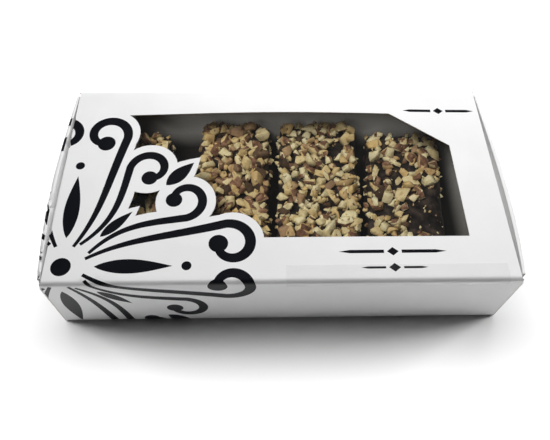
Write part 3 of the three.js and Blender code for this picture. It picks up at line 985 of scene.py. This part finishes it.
def add_solid_nuts(heap, index):
    """The nuts that the bar's solid has, by the same draws."""
    bar = BARS[index]
    draw = make_random(NUT_SEED + index)

    def add(x, y, z, size):
        stretch, tilt = nut_form(draw, size, *NUT_FORM)
        heap.add(x, y, z + stretch[2] * draw(*NUT_RISE), stretch, tilt)

    def spot(i, count, length):
        return (i + 0.5 - count / 2 + draw(-NUT_SHIFT, NUT_SHIFT)) * (length - NUT_BORDER) / count

    for row in range(NUT_ROWS):
        for column in range(NUT_COLUMNS):
            x = spot(column, NUT_COLUMNS, bar["width"])
            y = spot(row, NUT_ROWS, bar["length"])
            size = draw(*NUT_SIZES)
            if not is_bare(BARE_PLACES[index], x, y):
                add(x, y, BAR_HEIGHT, size)
    for i in range(SIDE_NUTS):
        side = 1 if i % 2 else -1
        y = ((i + 0.5) / SIDE_NUTS - 0.5) * (bar["length"] - SIDE_NUT_ENDS)
        z = BAR_HEIGHT - SIDE_NUT_DROP + draw(-SIDE_NUT_SHIFT, SIDE_NUT_SHIFT)
        add(side * (bar["width"] / 2 - SIDE_NUT_INSET), y, z, NUT_SIZES[0])


def bar_nuts(index):
    """A bar's nuts in its own frame: those of the solid, then smaller ones over the gaps."""
    half_x, half_y = BARS[index]["width"] / 2, BARS[index]["length"] / 2
    heap = Heap(half_x, half_y)
    add_solid_nuts(heap, index)
    draw = make_random(LOOSE_SEED + index)
    bare = BARE_PLACES[index] + SMALL_BARE[index]
    smallest, largest = EXTRA_SIZES

    def on_top(inset):
        return draw(-1, 1) * (half_x - inset), draw(-1, 1) * (half_y - inset)

    for _ in range(EXTRA_NUTS[index]):
        size = smallest + (largest - smallest) * draw(0, 1) ** EXTRA_SKEW
        inset = max(size - EXTRA_OVERHANG, EXTRA_INSET)
        spots = [on_top(inset) for _ in range(EXTRA_TRIES)]
        x, y = min(spots, key=lambda spot: heap.under(*spot, size))
        if not is_bare(bare, x, y):
            heap.rest(draw, x, y, size)
    for _ in range(EDGE_NUTS):
        x, y = edge_place(draw, half_x, half_y)
        centre = BAR_HEIGHT - draw(*EDGE_DROP)
        form = nut_form(draw, draw(*EDGE_SIZES), *LOOSE_FORM, EDGE_LEAN)
        if not is_bare(bare, x, y):
            heap.nuts.append(((x, y, centre), *form))
    for _ in range(CRUMBS):
        heap.rest(draw, *on_top(CRUMB_INSET), draw(*CRUMB_SIZES))
    return heap.nuts


# What each nut looks like, bar by bar
LOOK_SEED = 5000
TOP_SKIN_SHARE = (0.2, 0.28, 0.12, 0.12)
SKINNED_SHARE = (0.8, 0.65, 0.5, 0.6)
# Each nut's tone is drawn at random up to this cap; the second bar's lower cap is painted shade,
# darkening that bar's nuts as a whole
PALEST_TONE = (0.8, 0.6, 0.9, 0.9)


def make_nuts(index, kinds, material):
    """One mesh of all the nuts on a bar, each of some kind with a tone of its own."""
    draw = make_random(LOOK_SEED + index)
    matrix = bar_matrix(index)
    points, faces, skins, tones = [], [], [], []
    first = 0
    for place, stretch, tilt in bar_nuts(index):
        lot = draw(0, 1)
        lowest, limit = 0, PLAIN_KINDS
        if lot < TOP_SKIN_SHARE[index]:
            lowest, limit = SIDE_KINDS, NUT_KINDS
        elif lot < SKINNED_SHARE[index]:
            lowest, limit = PLAIN_KINDS, SIDE_KINDS
        shape, triangles, skin = kinds[int(draw(lowest, limit))]
        turn = Euler(tilt, "XYZ").to_matrix().to_4x4()
        whole = np.array(matrix @ Matrix.Translation(place) @ turn @ Matrix.Diagonal((*stretch, 1)))
        points.append(shape @ whole[:3, :3].T + whole[:3, 3])
        faces.append(triangles + first)
        skins.append(skin)
        tones.append(np.full(len(skin), draw(0, PALEST_TONE[index])))
        first += len(shape)
    piece = add_mesh(f"chopped_nuts_{index + 1}", np.concatenate(points),
                     np.concatenate(faces).tolist(), [material])
    for attribute, values in (("skin", skins), ("tone", tones)):
        layer = piece.data.attributes.new(attribute, "FLOAT", "FACE")
        layer.data.foreach_set("value", np.concatenate(values).astype(np.float32))
    settle(piece, f"bar_{index + 1}")


# Materials

HEAD_ON_SHEEN = 0.02 # share of the light that clear plastic mirrors head-on


def grey(level):
    return (level, level, level)


class Tree:
    """The nodes of a material or of the world, with short ways to add those that recur."""

    def __init__(self, owner):
        owner.use_nodes = True
        self.nodes = owner.node_tree.nodes
        self.links = owner.node_tree.links

    def feed(self, socket, value):
        """Links an output, or a node's first one, to an input, or sets a number or a colour on it."""
        if isinstance(value, bpy.types.Node):
            value = value.outputs[0]
        if isinstance(value, bpy.types.NodeSocket):
            self.links.new(value, socket)
        else:
            socket.default_value = value

    def add(self, kind, *feeds, **named):
        """A node; the feeds go to its first inputs in turn, the named ones to inputs or settings."""
        node = self.nodes.new("ShaderNode" + kind)
        for key, value in named.items():
            if key in node.inputs:
                self.feed(node.inputs[key], value)
            else:
                setattr(node, key, value)
        for socket, value in zip(node.inputs, feeds):
            self.feed(socket, value)
        return node

    def cloud(self, scale, detail):
        """Noise from 0 to 1 that stays with the object."""
        where = self.add("TexCoord").outputs["Object"]
        return self.add("TexNoise", where, Scale=scale, Detail=detail)

    def ramp(self, source, *stops):
        """Colours by a value, each stop a place and a colour."""
        node = self.add("ValToRGB", source)
        elements = node.color_ramp.elements
        for _ in stops[2:]:
            elements.new(0.5)
        for element, (at, colour) in zip(elements, stops):
            element.position = at
            element.color = (*colour, 1)
        return node

    def mix(self, share, first, second, blend="MIX"):
        """One colour laid over another."""
        node = self.add("Mix", share, data_type="RGBA", blend_type=blend)
        self.feed(node.inputs[6], first)
        self.feed(node.inputs[7], second)
        return node.outputs[2]

    def bump(self, shader, source, strength, distance):
        node = self.add("Bump", Height=source, Strength=strength, Distance=distance)
        self.feed(shader.inputs["Normal"], node)

    def paint(self, colour, roughness, gloss=0.5):
        """Gives the plain shader its colour, roughness and gloss, and returns it."""
        shader = self.nodes["Principled BSDF"]
        self.feed(shader.inputs["Base Color"], colour)
        self.feed(shader.inputs["Roughness"], roughness)
        self.feed(shader.inputs["Specular IOR Level"], gloss)
        return shader

    def show(self, shader, output="Material Output"):
        self.feed(self.nodes[output].inputs["Surface"], shader)


def new_material(name):
    material = bpy.data.materials.new(name)
    return material, Tree(material)


def board_material(name, light, dark, roughness, gloss=0.5):
    material, tree = new_material(name)
    mottle = tree.ramp(tree.cloud(60.0, 4.0), (0.3, dark), (0.7, light))
    shader = tree.paint(mottle, roughness, gloss)
    tree.bump(shader, tree.cloud(1800.0, 2.0), strength=0.12, distance=0.0001)
    return material


def tray_material():
    """Dark plastic, painted darker towards its floor: a painted shade for the dim bottom of the tray
    between and beside the bars.
    """
    material, tree = new_material("dark_tray_plastic")
    cloud = tree.cloud(45.0, 3.0)
    plastic = tree.ramp(cloud, (0.3, (0.115, 0.111, 0.100)), (0.7, (0.140, 0.134, 0.120)))
    place = tree.add("SeparateXYZ", tree.add("TexCoord").outputs["Object"])
    height = tree.add("Math", place.outputs["Z"], TRAY_HEIGHT * MM, operation="DIVIDE")
    # painted shade: the colour falls towards black near the tray's floor
    painted_floor_shade = tree.ramp(height, (0.10, grey(0.04)), (0.45, grey(1)))
    shader = tree.paint(tree.mix(1.0, plastic, painted_floor_shade, "MULTIPLY"), 0.32)
    tree.bump(shader, cloud, strength=0.15, distance=0.0006)
    return material


def chocolate_material():
    """Dark chocolate with a bloom in patches, where it is paler and less glossy."""
    material, tree = new_material("dark_chocolate")
    cloud = tree.cloud(210.0, 5.0)
    tones = tree.ramp(cloud, (0.36, (0.007, 0.006, 0.0055)), (0.52, (0.019, 0.015, 0.013)),
                      (0.66, (0.056, 0.040, 0.030)))
    shader = tree.paint(tones, tree.ramp(cloud, (0.3, grey(0.30)), (0.7, grey(0.55))))
    tree.bump(shader, tree.cloud(420.0, 4.0), strength=0.7, distance=0.0009)
    return material


def nut_material():
    """Cream flesh and brown skin, by the piece and by the side of each piece."""
    material, tree = new_material("chopped_nut")
    skin = tree.add("Attribute", attribute_name="skin").outputs["Fac"]
    tone = tree.add("Attribute", attribute_name="tone").outputs["Fac"]
    cloud = tree.cloud(420.0, 3.0)
    flesh = tree.ramp(
        tone, (0.0, (0.045, 0.028, 0.020)), (0.05, (0.08, 0.05, 0.03)), (0.08, (0.33, 0.21, 0.12)),
        (0.22, (0.57, 0.41, 0.18)), (0.36, (0.58, 0.46, 0.235)), (0.5, (0.61, 0.515, 0.29)),
        (0.65, (0.66, 0.58, 0.345)), (0.85, (0.70, 0.63, 0.39)), (1.0, (0.73, 0.67, 0.45)))
    patches = tree.ramp(cloud, (0.30, (0.66, 0.58, 0.48)), (0.44, (0.92, 0.89, 0.83)), (0.58, grey(1)))
    rind = tree.ramp(cloud, (0.3, (0.070, 0.033, 0.020)), (0.5, (0.16, 0.082, 0.047)),
                     (0.7, (0.31, 0.18, 0.105)))
    ragged = tree.add("Math", cloud, 2.2, -1.1, operation="MULTIPLY_ADD")
    edge = tree.add("Math", skin, ragged, operation="ADD")
    skinned = tree.ramp(edge, (0.42, grey(0)), (0.56, grey(1)))
    mottled = tree.mix(1.0, flesh, patches, "MULTIPLY")
    shader = tree.paint(tree.mix(skinned, mottled, rind), 0.5, 0.35)
    tree.bump(shader, tree.cloud(1100.0, 3.0), strength=0.45, distance=0.0004)
    return material


def clear_material(name, haze, tint, roughness, gloss, crumple=0):
    """Clear plastic: light goes straight through, with a sheen that grows at a slant and a faint haze."""
    material, tree = new_material(name)
    tree.nodes.remove(tree.nodes["Principled BSDF"])
    through = tree.add("BsdfTransparent", Color=(*tint, 1))
    sheen = tree.add("BsdfGlossy", Roughness=roughness)
    milk = tree.add("BsdfDiffuse", Color=(*grey(0.9), 1))
    if crumple:
        tree.bump(sheen, tree.cloud(230.0, 2.0), crumple, distance=0.0012)
    slant = tree.add("LayerWeight", Blend=0.5).outputs["Facing"]
    steep = tree.add("Math", slant, 5, operation="POWER")
    share = tree.add("Math", steep, (1 - HEAD_ON_SHEEN) * gloss, HEAD_ON_SHEEN * gloss,
                     operation="MULTIPLY_ADD")
    hazy = tree.add("MixShader", haze, through, milk)
    tree.show(tree.add("MixShader", share, hazy, sheen))
    return material


# Floor, light and camera

FLOOR_HALF = 3000
FLOOR_PLAIN = 330 # how far from the middle the floor starts to fade into the backdrop
FLOOR_FADED = 620
BACKDROP = 0.95
WORLD_LIGHT = 0.036

# Each lamp's place, the height over the middle that it aims at, its size, its power and what it lights
LAMPS = (
    ("shadow_lamp", (-60, 370, 900), 0, (1080, 740), 17.1, "floor"),
    ("side_lamp", (-900, 260, 490), 0, (350, 300), 13.0, "floor"),
    ("side_lamp", (900, 260, 490), 0, (350, 300), 13.0, "floor"),
    ("overhead", (120, 330, 450), 0, (900, 600), 6.1, "pack"),
    ("bar_light", (-230, -60, 720), 0, (400, 330), 6.65, "bars"),
    ("tray_light", (-230, -240, 650), 20, (350, 250), 12.5, "tray"),
    ("wall_light", (-380, -480, 460), 20, (350, 250), 4.4, "tray"),
)


def floor_material():
    """Pale and matt; far from the part it takes the backdrop's look where the camera sees it."""
    material, tree = new_material("pale_floor")
    matt = tree.paint((*grey(0.58), 1), 0.9)
    away = tree.add("VectorMath", tree.add("TexCoord").outputs["Object"], operation="LENGTH")
    fade = tree.ramp(away.outputs["Value"], (FLOOR_PLAIN * MM, grey(0)), (FLOOR_FADED * MM, grey(1)))
    seen = tree.add("LightPath").outputs["Is Camera Ray"]
    share = tree.add("Math", fade, seen, operation="MULTIPLY")
    backdrop = tree.add("Emission", Color=(1, 1, 1, 1), Strength=BACKDROP)
    tree.show(tree.add("MixShader", share, matt, backdrop))
    return material


def make_floor():
    corners = [(x, y, 0) for x, y in rectangle(-FLOOR_HALF, -FLOOR_HALF, FLOOR_HALF, FLOOR_HALF)]
    floor = add_mesh("floor", corners, [(0, 1, 2, 3)], [floor_material()])
    return floor


def add_area_light(name, place, height, size, power, lit):
    """A soft box that lights one collection and that no gloss shows."""
    light = bpy.data.lights.new(name, "AREA")
    light.shape = "RECTANGLE"
    light.size, light.size_y = (side * MM for side in size)
    light.energy = power
    lamp = put(name, light)
    lamp.location = Vector(place) * MM
    aim = (Vector((0, 0, height)) - Vector(place)).normalized()
    lamp.rotation_euler = aim.to_track_quat("-Z", "Y").to_euler()
    lamp.visible_camera = False
    lamp.visible_glossy = False
    lamp.light_linking.receiver_collection = lit


def make_lights(pieces, floor):
    """A lamp behind throws the shadow to the front, and two at the sides narrow it.

    The carton has softer light from above and behind, and the bars and the tray have their own lamps.
    """
    bars = [piece for piece in pieces if piece.name.startswith(("chopped", "chocolate"))]
    tray = [piece for piece in pieces if piece.name.startswith("formed")]
    pack = [piece for piece in pieces if piece not in bars + tray]
    lit = {}
    for group, members in (("bars", bars), ("tray", tray), ("pack", pack), ("floor", [floor])):
        lit[group] = bpy.data.collections.new(f"lit_{group}")
        for piece in members:
            lit[group].objects.link(piece)
    for *lamp, group in LAMPS:
        add_area_light(*lamp, lit[group])


def make_world():
    """Even light all round, with a paler look where the camera sees past the floor."""
    world = bpy.data.worlds.new("studio")
    bpy.context.scene.world = world
    tree = Tree(world)
    even = tree.nodes["Background"]
    even.inputs["Strength"].default_value = WORLD_LIGHT
    even.inputs["Color"].default_value = (1, 1, 1, 1)
    backdrop = tree.add("Background", Color=(1, 1, 1, 1), Strength=BACKDROP)
    seen = tree.add("LightPath").outputs["Is Camera Ray"]
    tree.show(tree.add("MixShader", seen, even, backdrop), "World Output")


def make_camera():
    data = bpy.data.cameras.new("camera")
    data.sensor_width = SENSOR_WIDTH
    data.lens = FOCAL_PIXELS / IMAGE_WIDTH * SENSOR_WIDTH
    data.clip_start = 0.01
    camera = put("camera", data)
    turn = Euler(CAMERA_TURN, "XYZ").to_matrix().transposed().to_4x4()
    camera.matrix_world = Matrix.Translation(Vector(CAMERA_PLACE) * MM) @ turn
    bpy.context.scene.camera = camera


def main():
    scene = bpy.context.scene
    scene.view_settings.view_transform = "Standard"
    white = board_material("white_board", grey(0.86), grey(0.83), 0.42)
    ink = board_material("black_ink", (0.0075, 0.008, 0.011), (0.005, 0.0055, 0.008), 0.40, 0.22)
    plain = board_material("board_inside", (0.78, 0.77, 0.74), (0.72, 0.71, 0.68), 0.8)
    edge = board_material("board_edge", (0.74, 0.73, 0.70), (0.66, 0.65, 0.62), 0.85)
    make_carton([white, ink, plain, edge])
    make_film(clear_material("clear_film", 0.0035, grey(0.98), 0.06, 1.0))
    make_tape(clear_material("clear_tape", 0.01, grey(0.99), 0.12, 0.6, crumple=0.8))
    make_tray(tray_material())
    chocolate = chocolate_material()
    nut = nut_material()
    draw = make_random(KIND_SEED)
    kinds = [nut_kind(draw, kind) for kind in range(NUT_KINDS)]
    for index in range(len(BARS)):
        make_bar_core(index, chocolate)
        make_nuts(index, kinds, nut)
    pieces = [piece for piece in scene.objects if piece.type == "MESH"]
    make_lights(pieces, make_floor())
    make_world()
    make_camera()


main()
